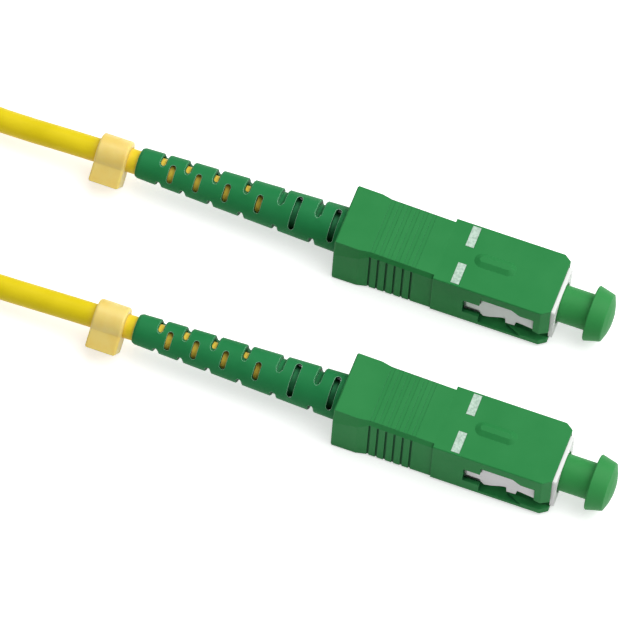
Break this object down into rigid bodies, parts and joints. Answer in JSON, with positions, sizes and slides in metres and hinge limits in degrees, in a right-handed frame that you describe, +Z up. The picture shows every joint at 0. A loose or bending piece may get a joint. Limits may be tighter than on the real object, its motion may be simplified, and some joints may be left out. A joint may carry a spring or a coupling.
{
  "type": "fibre optic patch cable",
  "caption": "Simplex fibre optic patch cable with a green push-pull plug, segmented boot and dust cap on each end, its yellow cable coiled and tied.",
  "frame": {"origin": "middle of the box round both plugs with their boots and caps, without the cable, on the surface that the object lies on", "axes": "+X along both plugs towards their ferrules, +Y across from plug b to plug a, +Z up"},
  "size_m": [0.1414, 0.0462, 0.0083],
  "materials": {
    "grip_green": "moulded, satin",
    "boot_green": "soft moulded, matt",
    "cap_green": "moulded, matt",
    "white_plastic": "moulded, satin",
    "ceramic": "polished zirconia ceramic",
    "plated_metal": "nickel plated",
    "spring_steel": "bright spring wire",
    "jacket_yellow": "extruded cable jacket",
    "buffer_white": "extruded fibre buffer",
    "clip_nylon": "translucent nylon",
    "tie_band": "hook and loop band"
  },
  "bodies": {
    "cable": {"inner_housing_a": "white_plastic", "stop_ring_a": "plated_metal", "crimp_sleeve_a": "plated_metal", "ferrule_spring_a": "spring_steel", "fibre_buffer_a": "buffer_white", "boot_a": "boot_green", "marker_clip_a": "clip_nylon", "cable_lead_a": "jacket_yellow", "inner_housing_b": "white_plastic", "stop_ring_b": "plated_metal", "crimp_sleeve_b": "plated_metal", "ferrule_spring_b": "spring_steel", "fibre_buffer_b": "buffer_white", "boot_b": "boot_green", "marker_clip_b": "clip_nylon", "cable_lead_b": "jacket_yellow", "cable_coil": "jacket_yellow", "coil_tie": "tie_band"},
    "grip_a": {"outer_housing_a": "grip_green", "position_marks_a": "white_plastic"},
    "ferrule_core_a": {"ferrule_a": "ceramic", "ferrule_flange_a": "plated_metal"},
    "cap_a": {"dust_cap_a": "cap_green"},
    "grip_b": {"outer_housing_b": "grip_green", "position_marks_b": "white_plastic"},
    "ferrule_core_b": {"ferrule_b": "ceramic", "ferrule_flange_b": "plated_metal"},
    "cap_b": {"dust_cap_b": "cap_green"}
  },
  "joints": [
    {"name": "grip_a_pull", "type": "slide", "parent": "cable", "child": "grip_a", "axis": [1, 0, 0], "range_m": [-0.001, 0]},
    {"name": "ferrule_a_float", "type": "slide", "parent": "cable", "child": "ferrule_core_a", "axis": [1, 0, 0], "range_m": [-0.001, 0], "stiffness_N_per_m": 800, "deforming": ["ferrule_spring_a"]},
    {"name": "cap_a_pull_off", "type": "slide", "parent": "ferrule_core_a", "child": "cap_a", "axis": [1, 0, 0], "range_m": [0, 0.015]},
    {"name": "grip_b_pull", "type": "slide", "parent": "cable", "child": "grip_b", "axis": [1, 0, 0], "range_m": [-0.001, 0]},
    {"name": "ferrule_b_float", "type": "slide", "parent": "cable", "child": "ferrule_core_b", "axis": [1, 0, 0], "range_m": [-0.001, 0], "stiffness_N_per_m": 800, "deforming": ["ferrule_spring_b"]},
    {"name": "cap_b_pull_off", "type": "slide", "parent": "ferrule_core_b", "child": "cap_b", "axis": [1, 0, 0], "range_m": [0, 0.015]}
  ]
}
